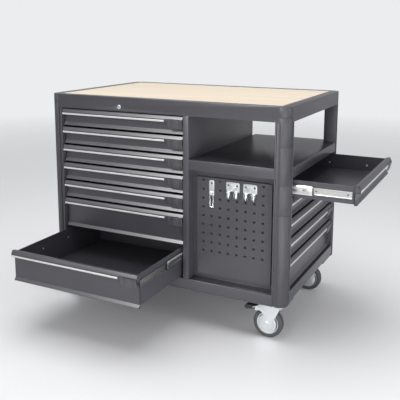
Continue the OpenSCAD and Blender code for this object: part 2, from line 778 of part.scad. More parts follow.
module lock_housing()
    color(light) at_lock() difference() {
        union() {
            translate([0, 0, -rosette_t]) cylinder(d = rosette_d, h = rosette_t);
            translate([0, 0, -rosette_t / 2]) cylinder(d = barrel_d, h = barrel_l + rosette_t / 2);
        }
        translate([0, 0, -3]) cylinder(d = plug_d + 2 * fit_gap, h = 30);
    }

module lock_plug()
    color(light) at_lock() {
        difference() {
            translate([0, 0, -plug_out]) cylinder(d = plug_d, h = plug_out + barrel_l + cam[2] - cam_gap);
            translate([-key_slot[0] / 2, -key_slot[1] / 2, -plug_out - 1])
                cube([key_slot[0], key_slot[1], plug_out + 2]);
        }
        translate([-cam[0] / 2, -cam_back, barrel_l + cam_gap]) cube(cam);
    }

module drawer_f1() front_drawer(0);
module drawer_f2() front_drawer(1);
module drawer_f3() front_drawer(2);
module drawer_f4() front_drawer(3);
module drawer_f5() front_drawer(4);
module drawer_f6() front_drawer(5);
module drawer_f7() front_drawer(6);
module latch_f1() front_latch(0);
module latch_f2() front_latch(1);
module latch_f3() front_latch(2);
module latch_f4() front_latch(3);
module latch_f5() front_latch(4);
module latch_f6() front_latch(5);
module latch_f7() front_latch(6);
module slides_f1() front_slides(0);
module slides_f2() front_slides(1);
module slides_f3() front_slides(2);
module slides_f4() front_slides(3);
module slides_f5() front_slides(4);
module slides_f6() front_slides(5);
module slides_f7() front_slides(6);
module drawer_s1() side_drawer(0);
module drawer_s2() side_drawer(1);
module drawer_s3() side_drawer(2);
module drawer_s4() side_drawer(3);
module drawer_s5() side_drawer(4);
module latch_s1() side_latch(0);
module latch_s2() side_latch(1);
module latch_s3() side_latch(2);
module latch_s4() side_latch(3);
module latch_s5() side_latch(4);
module slides_s1() side_slides(0);
module slides_s2() side_slides(1);
module slides_s3() side_slides(2);
module slides_s4() side_slides(3);
module slides_s5() side_slides(4);
module fork_fl() fork(false, false, true);
module fork_fr() fork(true, false, true);
module fork_rl() fork(false, true, false);
module fork_rr() fork(true, true, false);
module wheel_fl() wheel(false, false);
module wheel_fr() wheel(true, false);
module wheel_rl() wheel(false, true);
module wheel_rr() wheel(true, true);
module brake_fl() brake(false);
module brake_fr() brake(true);

worktop_board();
top_frame();
corner_posts();
corner_bumpers();
panels();
divider();
base_frame();
shelf();
pegboard();
cabinet_rails();
peg_hooks();
caster_plates();
lock_housing();
lock_plug();
drawer_f1();
drawer_f2();
drawer_f3();
drawer_f4();
drawer_f5();
drawer_f6();
drawer_f7();
latch_f1();
latch_f2();
latch_f3();
latch_f4();
latch_f5();
latch_f6();
latch_f7();
slides_f1();
slides_f2();
slides_f3();
slides_f4();
slides_f5();
slides_f6();
slides_f7();
drawer_s1();
drawer_s2();
drawer_s3();
drawer_s4();
drawer_s5();
latch_s1();
latch_s2();
latch_s3();
latch_s4();
latch_s5();
slides_s1();
slides_s2();
slides_s3();
slides_s4();
slides_s5();
fork_fl();
fork_fr();
fork_rl();
fork_rr();
wheel_fl();
wheel_fr();
wheel_rl();
wheel_rr();
brake_fl();
brake_fr();
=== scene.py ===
# %% [markdown]
# # A mobile workbench, dressed piece by piece
#
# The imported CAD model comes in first, as a fixed frame. Every bend, gap and hinge is already right in it, so
# this notebook adds what CAD leaves out: rounded folds, eased edges, brushed and coated surfaces, wood and
# rubber.

# %% Load the frame
import json
import math
from collections import namedtuple

import bmesh
import bpy
from mathutils import Matrix, Vector


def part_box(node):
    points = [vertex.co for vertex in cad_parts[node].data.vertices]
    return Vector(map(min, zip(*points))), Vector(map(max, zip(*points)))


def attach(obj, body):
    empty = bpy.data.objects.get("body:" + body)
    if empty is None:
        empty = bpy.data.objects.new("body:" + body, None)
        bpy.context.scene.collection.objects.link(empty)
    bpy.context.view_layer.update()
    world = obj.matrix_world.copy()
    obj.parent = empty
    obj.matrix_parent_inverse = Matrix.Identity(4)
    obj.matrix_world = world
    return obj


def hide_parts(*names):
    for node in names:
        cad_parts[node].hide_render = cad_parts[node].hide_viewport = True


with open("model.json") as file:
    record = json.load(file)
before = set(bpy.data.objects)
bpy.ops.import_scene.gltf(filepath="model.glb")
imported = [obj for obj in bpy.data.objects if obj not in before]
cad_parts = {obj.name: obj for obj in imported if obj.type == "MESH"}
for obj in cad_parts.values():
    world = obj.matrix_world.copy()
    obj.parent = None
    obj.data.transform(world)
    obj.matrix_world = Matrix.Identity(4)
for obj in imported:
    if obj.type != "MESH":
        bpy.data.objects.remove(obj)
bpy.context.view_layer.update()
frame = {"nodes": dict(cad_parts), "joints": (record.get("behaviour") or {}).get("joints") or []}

nodes = frame["nodes"]

# %% [markdown]
# ## Working in the bench's own millimetres
#
# A cabinet maker measures from the left front corner of the cabinet, in millimetres. The frame is in metres,
# with its origin in the middle of the footprint. One matrix turns the first into the second, and two
# functions read places in the frame back into millimetres. Where a piece sits, and how large it is, comes
# from the corners of its CAD node and from the joints.

# %% Bench axes
MM = 0.001
left, front = [round(v / MM, 3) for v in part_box("top_frame")[0][:2]]
CORNER = (left, front, 0.0)
BENCH = Matrix.Scale(MM, 4) @ Matrix.Translation(CORNER)
joint_of = {joint["child"]: joint for joint in frame["joints"]}


def in_bench(place):
    """A place in the frame, in the bench's millimetres, to the nearest micrometre."""
    return [round(v / MM - c, 3) for v, c in zip(place, CORNER)]


def spans(node):
    """The low and high corners of a CAD node, in the bench's millimetres."""
    return [in_bench(corner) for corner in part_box(node)]


print("cabinet:", spans("top_frame")[1], "mm")

# %% [markdown]
# ## Small tools for node trees
#
# A procedural material is a small graph. These helpers keep each graph readable: one call makes a node and
# fills or links its sockets by name.

# %% Node helpers
def add(tree, kind, props=None, **sockets):
    """A node with its properties set and its sockets filled or linked. An underscore stands for a space."""
    node = tree.nodes.new(kind)
    for key, value in (props or {}).items():
        setattr(node, key, value)
    for key, value in sockets.items():
        plug(tree, node.inputs[key.replace("_", " ")], value)
    return node


def plug(tree, socket, value):
    """Links a socket to another node's output, or fills it with a value."""
    if isinstance(value, bpy.types.NodeSocket):
        tree.links.new(value, socket)
    else:
        socket.default_value = value


def calc(tree, operation, *values):
    """A Math node: returns its output."""
    node = tree.nodes.new("ShaderNodeMath")
    node.operation = operation
    for socket, value in zip(node.inputs, values):
        plug(tree, socket, value)
    return node.outputs[0]


def spread(tree, value, low, high):
    """Maps 0..1 to low..high."""
    return add(tree, "ShaderNodeMapRange", Value=value, To_Min=low, To_Max=high).outputs[0]


def tint(tree, factor, first, second):
    """A colour mix from first to second."""
    node = tree.nodes.new("ShaderNodeMix")
    node.data_type = "RGBA"
    plug(tree, node.inputs[0], factor)
    plug(tree, node.inputs[6], first)
    plug(tree, node.inputs[7], second)
    return node.outputs[2]


def stretched(tree, scale):
    """Object coordinates scaled by a vector, so that a pattern runs along one axis."""
    coords = tree.nodes.new("ShaderNodeTexCoord")
    return add(tree, "ShaderNodeMapping", Vector=coords.outputs["Object"], Scale=scale).outputs[0]


def new_group(name, inputs, outputs):
    """An empty shader group: returns the tree, its input node's outputs and its output node's inputs."""
    tree = bpy.data.node_groups.new(name, "ShaderNodeTree")
    for label, value in inputs.items():
        socket = tree.interface.new_socket(label, in_out="INPUT", socket_type="NodeSocketFloat")
        socket.default_value = value
    for label in outputs:
        tree.interface.new_socket(label, in_out="OUTPUT", socket_type="NodeSocketFloat")
    return tree, tree.nodes.new("NodeGroupInput").outputs, tree.nodes.new("NodeGroupOutput").inputs


def use_group(tree, group, **values):
    """Puts a group into a tree and fills its inputs: returns its outputs."""
    node = tree.nodes.new("ShaderNodeGroup")
    node.node_tree = group
    for key, value in values.items():
        plug(tree, node.inputs[key.replace("_", " ")], value)
    return node.outputs


def new_material(name, **constants):
    """A material with a Principled shader whose constants are set on its own sockets."""
    material = bpy.data.materials.new(name)
    material.use_nodes = True
    shader = material.node_tree.nodes["Principled BSDF"]
    for key, value in constants.items():
        shader.inputs[key.replace("_", " ")].default_value = value
    return material, material.node_tree, shader


def bump(tree, shader, height, strength, distance):
    """Raises the surface by a height, at most by the distance in metres."""
    node = add(tree, "ShaderNodeBump", Height=height, Strength=strength, Distance=distance)
    tree.links.new(node.outputs[0], shader.inputs["Normal"])


print("node helpers ready")

# %% [markdown]
# ## Powder coat
#
# The steel is coated with a dark satin powder. Seen close, such a coat has a fine skin like an orange's, and
# from further away a faint cloudiness, because the film isn't equally thick. Both come from one group, with
# the size of the skin and of the clouds as its inputs, so that steel, plastic and rubber can each use it with
# their own values.

# %% Surface group: skin and clouds
SKIN_DEPTH = 0.0002
SKIN_SIZE, CLOUD_SIZE = 700.0, 6.0
sizes = {"Skin Size": SKIN_SIZE, "Cloud Size": CLOUD_SIZE}
skin_group, given, out = new_group("moulded_skin", sizes, ["Skin", "Clouds"])
place = skin_group.nodes.new("ShaderNodeTexCoord").outputs["Object"]
skin = add(skin_group, "ShaderNodeTexNoise", Vector=place, Scale=given["Skin Size"],
           Detail=2.0, Roughness=0.6)
clouds = add(skin_group, "ShaderNodeTexNoise", Vector=place, Scale=given["Cloud Size"],
             Detail=4.0, Roughness=0.55)
skin_group.links.new(skin.outputs[0], out["Skin"])
skin_group.links.new(clouds.outputs[0], out["Clouds"])


def coated(name, dark, pale, rough, skin_size=SKIN_SIZE, cloud_size=CLOUD_SIZE, height=0.12):
    """A moulded or coated surface between two near colours, with its skin as bump."""
    material, tree, shader = new_material(name, IOR=1.5)
    marks = use_group(tree, skin_group, Skin_Size=skin_size, Cloud_Size=cloud_size)
    shade = tint(tree, marks["Clouds"], (*dark, 1.0), (*pale, 1.0))
    plug(tree, shader.inputs["Base Color"], shade)
    plug(tree, shader.inputs["Roughness"], spread(tree, marks["Clouds"], rough[0], rough[1]))
    bump(tree, shader, marks["Skin"], height, SKIN_DEPTH)
    return material


powder = coated("anthracite_powder_coat", (0.042, 0.041, 0.05), (0.055, 0.054, 0.064), rough=(0.3, 0.4))
cover_plastic = coated("corner_cover_plastic", (0.031, 0.03, 0.035), (0.041, 0.04, 0.046),
                       rough=(0.5, 0.62), skin_size=1100.0, cloud_size=9.0, height=0.1)
lever_plastic = coated("lever_plastic", (0.045, 0.044, 0.05), (0.058, 0.056, 0.063),
                       rough=(0.36, 0.48), skin_size=1300.0, cloud_size=20.0, height=0.2)
tyre_rubber = coated("tyre_rubber", (0.03, 0.03, 0.032), (0.045, 0.045, 0.047),
                     rough=(0.55, 0.7), skin_size=900.0, cloud_size=30.0, height=0.3)
black_plastic = coated("black_plastic", (0.01, 0.01, 0.011), (0.018, 0.018, 0.019),
                       rough=(0.4, 0.55), skin_size=900.0, cloud_size=30.0, height=0.2)
coats = (powder, cover_plastic, lever_plastic, tyre_rubber, black_plastic)
print("coated materials:", [coat.name for coat in coats])

# %% [markdown]
# ## Bright metal
#
# The light strips are brushed aluminium, the lock is chromed, and the slides, hooks and casters are zinc
# plated, the slides in a duller tone. A brushed metal has fine lines along the way it was drawn. A stretched
# noise gives them, and it changes the roughness more than the colour.

# %% Metal group and materials
LINE_DEPTH = 0.0001
brush_group, given, out = new_group("drawn_lines", {"Fine": 1400.0, "Long": 6.0}, ["Lines", "Film"])
place = brush_group.nodes.new("ShaderNodeTexCoord").outputs["Object"]
parts = add(brush_group, "ShaderNodeSeparateXYZ", Vector=place).outputs
along = calc(brush_group, "MULTIPLY", parts[0], given["Long"])
across = calc(brush_group, "MULTIPLY", parts[1], given["Long"])
upward = calc(brush_group, "MULTIPLY", parts[2], given["Fine"])
drawn = add(brush_group, "ShaderNodeCombineXYZ", X=along, Y=across, Z=upward).outputs[0]
lines = add(brush_group, "ShaderNodeTexNoise", Vector=drawn, Scale=1.0, Detail=2.0)
film = add(brush_group, "ShaderNodeTexNoise", Vector=place, Scale=14.0, Detail=3.0)
brush_group.links.new(lines.outputs[0], out["Lines"])
brush_group.links.new(film.outputs[0], out["Film"])


def bright(name, cool, warm, rough, height=0.05, metallic=1.0):
    """A bright metal between a cool and a warm tone, with drawn lines in its roughness and bump."""
    material, tree, shader = new_material(name, Metallic=metallic)
    marks = use_group(tree, brush_group)
    plug(tree, shader.inputs["Base Color"], tint(tree, marks["Film"], (*cool, 1.0), (*warm, 1.0)))
    plug(tree, shader.inputs["Roughness"], spread(tree, marks["Lines"], rough[0], rough[1]))
    bump(tree, shader, marks["Lines"], height, LINE_DEPTH)
    return material


aluminium = bright("brushed_aluminium", (0.52, 0.52, 0.51), (0.58, 0.58, 0.57),
                   rough=(0.36, 0.48), metallic=0.3)
zinc = bright("bright_zinc", (0.5, 0.54, 0.58), (0.66, 0.66, 0.64), rough=(0.24, 0.36), height=0.02)
slide_zinc = bright("slide_zinc", (0.36, 0.38, 0.38), (0.46, 0.46, 0.44), rough=(0.3, 0.42), height=0.02)
chrome = bright("polished_chrome", (0.7, 0.71, 0.73), (0.78, 0.78, 0.79), rough=(0.1, 0.16), height=0.01)
print("bright metals:", aluminium.name, zinc.name, slide_zinc.name, chrome.name)

# %% [markdown]
# ## Birch top
#
# The board is plywood with a pale birch face under clear lacquer. Its figure runs along the bench: long soft
# flames, fine pores and a slow change of tone from stave to stave.

# %% Wood material
FLAME_GRAIN, PORE_GRAIN, STAVE_GRAIN = (1.2, 26.0, 26.0), (30.0, 900.0, 900.0), (1.0, 2.2, 1.0)
FLAME_PALE, FLAME_DARK = (0.8, 0.7, 0.55, 1.0), (0.62, 0.48, 0.32, 1.0)
STAVE_PALE = (0.84, 0.76, 0.64, 1.0)
PORE_SHARE, PORE_DEPTH = 0.35, 0.0002
birch, tree, shader = new_material("lacquered_birch", IOR=1.5, Coat_Weight=0.25, Coat_Roughness=0.25)
flame = add(tree, "ShaderNodeTexNoise", Vector=stretched(tree, FLAME_GRAIN), Scale=1.0,
            Detail=5.0, Distortion=0.6)
pores = add(tree, "ShaderNodeTexNoise", Vector=stretched(tree, PORE_GRAIN), Scale=1.0, Detail=3.0)
tone = add(tree, "ShaderNodeTexNoise", Vector=stretched(tree, STAVE_GRAIN), Scale=1.6, Detail=2.0)
flames = calc(tree, "MULTIPLY", flame.outputs[0], 1 - PORE_SHARE)
figure = calc(tree, "MULTIPLY_ADD", pores.outputs[0], PORE_SHARE, flames)
face = tint(tree, spread(tree, figure, -0.6, 1.6), FLAME_PALE, FLAME_DARK)
face = tint(tree, calc(tree, "MULTIPLY", tone.outputs[0], 0.5), face, STAVE_PALE)
plug(tree, shader.inputs["Base Color"], face)
plug(tree, shader.inputs["Roughness"], spread(tree, pores.outputs[0], 0.38, 0.52))
bump(tree, shader, pores.outputs[0], 0.08, PORE_DEPTH)
print("wood material:", birch.name)

# %% [markdown]
# ## Mesh tools
#
# Folded sheet steel is a line with rounded corners and a thickness, drawn out along its length. A tray is a
# stack of rectangles that steps in and out. Two builders, for prisms and for stacks, make nearly every piece
# below.

# %% Outline tools
SIDE_SHARE = 0.45


def rounded(points, radii, steps=4):
    """The line with its corners rounded. A corner takes at most SIDE_SHARE of each of its sides."""
    made = [Vector(points[0])]
    for before, corner, after, radius in zip(points, points[1:], points[2:], radii):
        before, corner, after = Vector(before), Vector(corner), Vector(after)
        a, b = (before - corner), (after - corner)
        half = a.angle(b) / 2
        reach = min(radius / math.tan(half), SIDE_SHARE * a.length, SIDE_SHARE * b.length) if radius else 0
        if not reach:
            made.append(corner)
            continue
        start, end = corner + a.normalized() * reach, corner + b.normalized() * reach
        for k in range(steps + 1):
            t = k / steps
            made.append((1 - t) ** 2 * start + 2 * t * (1 - t) * corner + t ** 2 * end)
    made.append(Vector(points[-1]))
    return made


def folded(line, thickness):
    """The closed outline of a sheet that follows the line, with the thickness on its left."""
    inner = []
    for i, point in enumerate(line):
        sides = [(line[k + 1] - line[k]).normalized() for k in (i - 1, i) if 0 <= k < len(line) - 1]
        lefts = [Vector((-s.y, s.x)) for s in sides]
        if len(lefts) == 1:
            inner.append(point + thickness * lefts[0])
        else:
            inner.append(point + thickness * (lefts[0] + lefts[1]) / (1 + sides[0].dot(sides[1])))
    return line + inner[::-1]


# %% Solid tools
def prism(bm, outline, axis, low, high):
    """Draws a closed outline out along an axis. Its two numbers fill the other two axes in order."""
    rest = [k for k in range(3) if k != axis]
    rows = []
    for level in (low, high):
        row = []
        for point in outline:
            place = [0.0, 0.0, 0.0]
            place[axis], place[rest[0]], place[rest[1]] = level, point[0], point[1]
            row.append(bm.verts.new(place))
        rows.append(row)
    bm.faces.new(rows[0])
    bm.faces.new(rows[1][::-1])
    for k in range(len(outline)):
        j = (k + 1) % len(outline)
        bm.faces.new((rows[0][k], rows[1][k], rows[1][j], rows[0][j]))


def block(bm, low, high):
    """A box between two corners."""
    outline = [(low[0], low[1]), (high[0], low[1]), (high[0], high[1]), (low[0], high[1])]
    prism(bm, outline, 2, low[2], high[2])


def ring(centre, radius, count):
    """The corners of a round outline."""
    angles = [2 * math.pi * k / count for k in range(count)]
    return [(centre[0] + radius * math.cos(a), centre[1] + radius * math.sin(a)) for a in angles]


def stack(bm, low, high, steps):
    """A closed stack of rectangles between two corners: each step is (distance inwards, height)."""
    rows = []
    for inset, z in steps:
        x0, y0, x1, y1 = low[0] + inset, low[1] + inset, high[0] - inset, high[1] - inset
        rows.append([bm.verts.new((x, y, z)) for x, y in ((x0, y0), (x1, y0), (x1, y1), (x0, y1))])
    for lower, upper in zip(rows, rows[1:]):
        for k in range(4):
            bm.faces.new((lower[k], lower[(k + 1) % 4], upper[(k + 1) % 4], upper[k]))
    bm.faces.new(rows[0][::-1])
    bm.faces.new(rows[-1])


def lathe(bm, outline, centre, turns=96):
    """Turns a closed outline of (radius, height) about the Y axis through the centre."""
    rings = []
    for k in range(turns):
        a = 2 * math.pi * k / turns
        row = [(centre[0] + r * math.cos(a), centre[1] + y, centre[2] + r * math.sin(a)) for r, y in outline]
        rings.append([bm.verts.new(place) for place in row])
    for k in range(turns):
        here, there = rings[k], rings[(k + 1) % turns]
        for j in range(len(outline)):
            i = (j + 1) % len(outline)
            bm.faces.new((here[j], there[j], there[i], here[i]))


print("mesh tools ready")

# %% [markdown]
# ## Finishing a piece
#
# Real edges are never perfectly sharp, and the thin line of light along them is most of what makes steel look
# like steel. So each piece gets a narrow bevel with two steps. The CAD nodes that keep their own mesh get it
# too: a Weld closes their split corners, a planar Decimate clears the triangles off their flats, and a Bevel
# eases what is left.

# %% Finish helpers
EDGE_ANGLE, FLAT_ANGLE = math.radians(32), math.radians(0.5)
WELD_REACH = 0.00001


def ease(obj, width, smooth=True):
    """Bevels the edges of an object in two steps, with the width in millimetres."""
    bevel = obj.modifiers.new("eased_edges", "BEVEL")
    bevel.width = width * MM
    bevel.segments = 2
    bevel.limit_method = "ANGLE"
    bevel.angle_limit = EDGE_ANGLE
    bevel.harden_normals = smooth


def piece(name, bm, axes, body, material, slot, width=0.0, replaces=()):
    """Turns a bmesh in local millimetres into a finished piece on a body, its edges eased to a width."""
    bmesh.ops.recalc_face_normals(bm, faces=bm.faces)
    bm.transform(axes)
    for f in bm.faces:
        f.smooth = True
    mesh = bpy.data.meshes.new(name)
    bm.to_mesh(mesh)
    bm.free()
    mesh.set_sharp_from_angle(angle=EDGE_ANGLE)
    mesh.materials.append(material)
    obj = bpy.data.objects.new(name, mesh)
    bpy.context.scene.collection.objects.link(obj)
    if width:
        ease(obj, width)
    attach(obj, body)
    if replaces:
        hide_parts(*replaces)
    return obj


def dress(node, material, width, smooth=True):
    """Gives a CAD node its material and edges eased to a width. Its own mesh stays as it was packed."""
    obj = nodes[node]
    obj.data.materials.clear()
    obj.data.materials.append(material)
    for polygon in obj.data.polygons:
        polygon.material_index = 0
        polygon.use_smooth = smooth
    if not width:
        return
    obj.data.set_sharp_from_angle(angle=EDGE_ANGLE)
    weld = obj.modifiers.new("closed_corners", "WELD")
    weld.merge_threshold = WELD_REACH
    flat = obj.modifiers.new("clear_flats", "DECIMATE")
    flat.decimate_type = "DISSOLVE"
    flat.angle_limit = FLAT_ANGLE
    ease(obj, width, smooth)


def cut(obj, cutter_bm, axes):
    """Cuts a bmesh out of a piece, and leaves a plain mesh."""
    bmesh.ops.recalc_face_normals(cutter_bm, faces=cutter_bm.faces)
    cutter_bm.transform(axes)
    tool_mesh = bpy.data.meshes.new("cutter")
    cutter_bm.to_mesh(tool_mesh)
    cutter_bm.free()
    tool = bpy.data.objects.new("cutter", tool_mesh)
    bpy.context.scene.collection.objects.link(tool)
    boolean = obj.modifiers.new("cut", "BOOLEAN")
    boolean.object = tool
    boolean.solver = "EXACT"
    plain = bpy.data.meshes.new_from_object(obj.evaluated_get(bpy.context.evaluated_depsgraph_get()))
    obj.modifiers.remove(boolean)
    obj.data = plain
    bpy.data.objects.remove(tool)


print("finish helpers ready")

# %% [markdown]
# ## The fixed steel
#
# Frame, posts, panels, divider, shelf and base are plain coated sheet, and their CAD meshes already have each
# fold. They keep those meshes and get the coat and eased edges.

# %% Dress the fixed nodes
for node, width in (("top_frame", 0.9), ("corner_posts", 0.9), ("panels", 0.4), ("divider", 0.7),
                    ("base_frame", 0.9), ("shelf", 0.9), ("pegboard", 0.0)):
    dress(node, powder, width, smooth=False)
dress("corner_bumpers", cover_plastic, width=0.35)
dress("cabinet_rails", slide_zinc, width=0.3)
dress("peg_hooks", zinc, width=0.3)
dress("caster_plates", zinc, width=0.6)
dress("lock_housing", chrome, width=0.3)
dress("lock_plug", chrome, width=0.2)
print("fixed nodes dressed")

# %% [markdown]
# ## The timber top
#
# The board lies flush in the steel rim. Only its face and the thin shadow line round it show, so a stack with
# a small rounded edge is enough.

# %% Timber top
# the board's edge from the bottom up, as (gap to the rim, distance below the top)
BOARD_EDGE = ((0.4, 24.8), (0.4, 1.6), (0.9, 0.5), (2.0, 0.0))
low, high = spans("worktop_board")
bm = bmesh.new()
stack(bm, low, high, [(gap, high[2] - below) for gap, below in BOARD_EDGE])
piece("timber_top", bm, BENCH, "cabinet", birch, "birch_ply", width=0.3, replaces=["worktop_board"])
print("timber top:", high[2], "mm high")

# %% [markdown]
# ## Drawers
#
# A drawer front is one folded sheet: a rounded pull band along the top, a deep flat field, and a lip along
# the bottom that leans outwards. Behind it hangs a tray on two slides. A strip of aluminium lies on the band,
# and a lever fills the window at its right end. All twelve come from the same functions. Each drawer has axes
# of its own, X along the front, Y inwards and Z up from its lower edge, and its place and size are read from
# the frame.

# %% Drawer sizes
# front: its sheet, the depths of the whole and of its flat field, its play in the bay, its back plate's edges
SHEET, FRONT_DEPTH, FACE_INSET, SIDE_GAP, BACK_DROP, BACK_FOOT = 1.5, 25.5, 22.0, 3.0, 3.0, 0.5
# lever: its window, its width and play, and its pin
WINDOW_TOP, WINDOW_LOW, LATCH_W, LATCH_GAP, LUG_GAP, END_IN = 13.2, 33.0, 77.0, 8.0, 0.5, 4.5
PIN_IN, PIN_DROP, PIN_R, PIN_SEAT = 5.2, 19.0, 1.95, 2.0
# light strip on the pull band, with a small chamfer
BAND_IN, STRIP_DROP, STRIP_H, STRIP_START, CHAMFER_IN, CHAMFER_H = 1.5, 19.0, 7.3, 4.0, 0.5, 0.8
# the front's outline over the pull band to the flat field, as (inwards, below its top), then along the lip,
# as (inwards, above its lower edge), and the radius of each fold
FRONT_UPPER = ((FRONT_DEPTH, BACK_DROP), (12.0, 0.0), (8.0, 1.0), (BAND_IN, 14.0), (BAND_IN, 27.5),
               (18.0, 29.0), (FACE_INSET, WINDOW_LOW))
FRONT_LOWER = ((FACE_INSET, 14.8), (12.0, 1.0), (FRONT_DEPTH, 0.0))
FRONT_RADII = (6.0, 1.2, 5.0, 2.2, 4.0, 4.0, 6.0, 1.6)
# tray: its underside, its upper edge below the front's, its hem
TRAY_LOW, TRAY_DROP, TRAY_HEM = 3.0, 5.0, 4.0
# slides: the drawer's own member with its holes, then the middle member and the stop on its end
SLIDE_W, SLIDE_DROP, MEMBER_H, MEMBER_T, MEMBER_INSET = 13.0, 41.0, 27.0, 6.0, 35.0
MEMBER_HOLES, HOLE_D, HOLE_DEPTH = (16.0, 140.0), 7.0, 8.0
MID_IN, MID_OUT, MID_H, MID_GAP, STOP_T, STOP_SEAT = 2.0, 8.1, 36.0, 27.6, 3.0, 0.2
# how far a cutter goes past a surface, and how many sides a round part has
PAST, HOLE_SIDES, PIN_SIDES = 1.0, 32, 24


# %% Drawers in the frame
BANKS = (("front", 7), ("side", 5))
Drawer = namedtuple("Drawer", "bank number mark axes bay depth height travel mid_start lever_start")


def read_drawer(bank, number):
    """A drawer's axes and sizes, in its own millimetres, from its boxes and its joint in the frame."""
    mark = f"{bank[0]}{number}"
    low, high = spans("drawer_" + mark)
    mid_low, mid_high = spans("slides_" + mark)
    if bank == "front":
        across, inwards, turn, mid_start = 0, 1, 0.0, mid_low[1] - low[1]
        corner = (low[0] - SIDE_GAP, low[1], low[2])
    else:
        across, inwards, turn, mid_start = 1, 0, math.radians(90), high[0] - mid_high[0]
        corner = (high[0], low[1] - SIDE_GAP, low[2])
    axes = BENCH @ Matrix.Translation(corner) @ Matrix.Rotation(turn, 4, "Z")
    bay = high[across] - low[across] + 2 * SIDE_GAP
    least, most = joint_of[f"{bank}_drawer_{number}"]["range_m"]
    return Drawer(bank, number, mark, axes, bay, high[inwards] - low[inwards], high[2] - low[2],
                  (most - least) / MM, mid_start, bay - END_IN - LUG_GAP - LATCH_W)


def drawer_piece(d, part, bm, material, slot, **finish):
    """A piece of a drawer, named after it. It rides on the drawer."""
    body = f"{d.bank}_drawer_{d.number}"
    return piece(f"{d.bank}_{d.number}_{part}", bm, d.axes, body, material, slot, **finish)


drawers = [read_drawer(bank, number) for bank, count in BANKS for number in range(1, count + 1)]
print("drawers:", [(d.mark, round(d.bay, 1), round(d.depth, 1), round(d.height, 1)) for d in drawers])


# %% Drawer front
def front_line(height):
    """Outline of a front of this height, as (inwards, up)."""
    upper = [(inwards, height - below) for inwards, below in FRONT_UPPER]
    return rounded(upper + list(FRONT_LOWER), FRONT_RADII)


def drawer_front(d):
    """The folded front with its lever window, and the plates that close it behind and at its ends."""
    line = front_line(d.height)
    bm = bmesh.new()
    prism(bm, [tuple(p) for p in folded(line, SHEET)], 0, SIDE_GAP, d.bay - SIDE_GAP)
    skin = drawer_piece(d, "front", bm, powder, "anthracite_steel", replaces=["drawer_" + d.mark])
    bm = bmesh.new()
    block(bm, (d.lever_start - LUG_GAP, -PAST, d.height - WINDOW_LOW),
          (d.bay - END_IN, FRONT_DEPTH - SHEET, d.height - WINDOW_TOP))
    cut(skin, bm, d.axes)
    ease(skin, 0.35)
    bm = bmesh.new()
    for x in (SIDE_GAP, d.bay - END_IN):
        prism(bm, [tuple(p) for p in line], 0, x, x + SHEET)
    block(bm, (SIDE_GAP, FRONT_DEPTH - SHEET, BACK_FOOT),
          (d.bay - SIDE_GAP, FRONT_DEPTH, d.height - BACK_DROP))
    drawer_piece(d, "front_ends", bm, powder, "anthracite_steel", width=0.3)


# %% Drawer tray, strip and rails
def drawer_tray(d):
    """An open sheet tray with a hem round its edge."""
    low, top = TRAY_LOW, d.height - TRAY_DROP
    bm = bmesh.new()
    stack(bm, (SLIDE_W, FRONT_DEPTH - SHEET), (d.bay - SLIDE_W, d.depth),
          [(0, low), (0, top), (TRAY_HEM, top), (TRAY_HEM, top - TRAY_HEM), (SHEET, top - TRAY_HEM),
           (SHEET, low + SHEET)])
    drawer_piece(d, "tray", bm, powder, "anthracite_steel", width=0.45)


def drawer_strip(d):
    """The aluminium strip on the pull band, as far as the lever."""
    top = d.height - STRIP_DROP
    low = top - STRIP_H
    line = [(BAND_IN, low), (CHAMFER_IN, low), (0, low + CHAMFER_H), (0, top - CHAMFER_H),
            (CHAMFER_IN, top), (BAND_IN, top)]
    bm = bmesh.new()
    prism(bm, line, 0, STRIP_START, d.lever_start - LATCH_GAP)
    drawer_piece(d, "strip", bm, aluminium, "zinc_plate", width=0.2)


def on_both_slides(d, bm, line, start, end):
    """Draws an outline of (outwards from the wall, up from the slide's middle) out along both slides."""
    for wall, way in ((d.bay - SLIDE_W, 1), (SLIDE_W, -1)):
        prism(bm, [(wall + way * x, d.height - SLIDE_DROP + z) for x, z in line], 1, start, end)


def drawer_rails(d):
    """The drawer's two slide members with their holes."""
    half = MEMBER_H / 2
    line = [(0, -half), (MEMBER_T, -half), (MEMBER_T, SHEET - half), (SHEET, SHEET - half),
            (SHEET, half - SHEET), (MEMBER_T, half - SHEET), (MEMBER_T, half), (0, half)]
    bm = bmesh.new()
    on_both_slides(d, bm, line, MEMBER_INSET, MEMBER_INSET + d.travel)
    rails = drawer_piece(d, "rails", bm, slide_zinc, "zinc_plate")
    bm = bmesh.new()
    for behind in MEMBER_HOLES:
        hole = ring((MEMBER_INSET + behind, d.height - SLIDE_DROP), HOLE_D / 2, HOLE_SIDES)
        prism(bm, hole, 0, SLIDE_W - HOLE_DEPTH, SLIDE_W + PAST)
        prism(bm, hole, 0, d.bay - SLIDE_W - PAST, d.bay - SLIDE_W + HOLE_DEPTH)
    cut(rails, bm, d.axes)
    ease(rails, 0.4)


def lever_pin(d):
    """The pin that the lever turns on."""
    bm = bmesh.new()
    round_pin = ring((PIN_IN, d.height - PIN_DROP), PIN_R, PIN_SIDES)
    prism(bm, round_pin, 0, d.lever_start - LUG_GAP - PIN_SEAT, d.bay - END_IN)
    drawer_piece(d, "pin", bm, slide_zinc, "zinc_plate", width=0.2)


def slide_stops(d):
    """Black stops on the front ends of the middle members, with the members' own outline."""
    gap, half, web = MID_GAP / 2, MID_H / 2, MID_OUT - SHEET
    line = [(MID_IN, half), (MID_IN, gap), (web, gap), (web, -gap), (MID_IN, -gap), (MID_IN, -half),
            (MID_OUT, -half), (MID_OUT, half)]
    bm = bmesh.new()
    on_both_slides(d, bm, line, d.mid_start - STOP_T, d.mid_start + STOP_SEAT)
    piece(f"{d.bank}_{d.number}_slide_stops", bm, d.axes, f"{d.bank}_slides_{d.number}", black_plastic,
          "pedal_plastic", width=0.3)


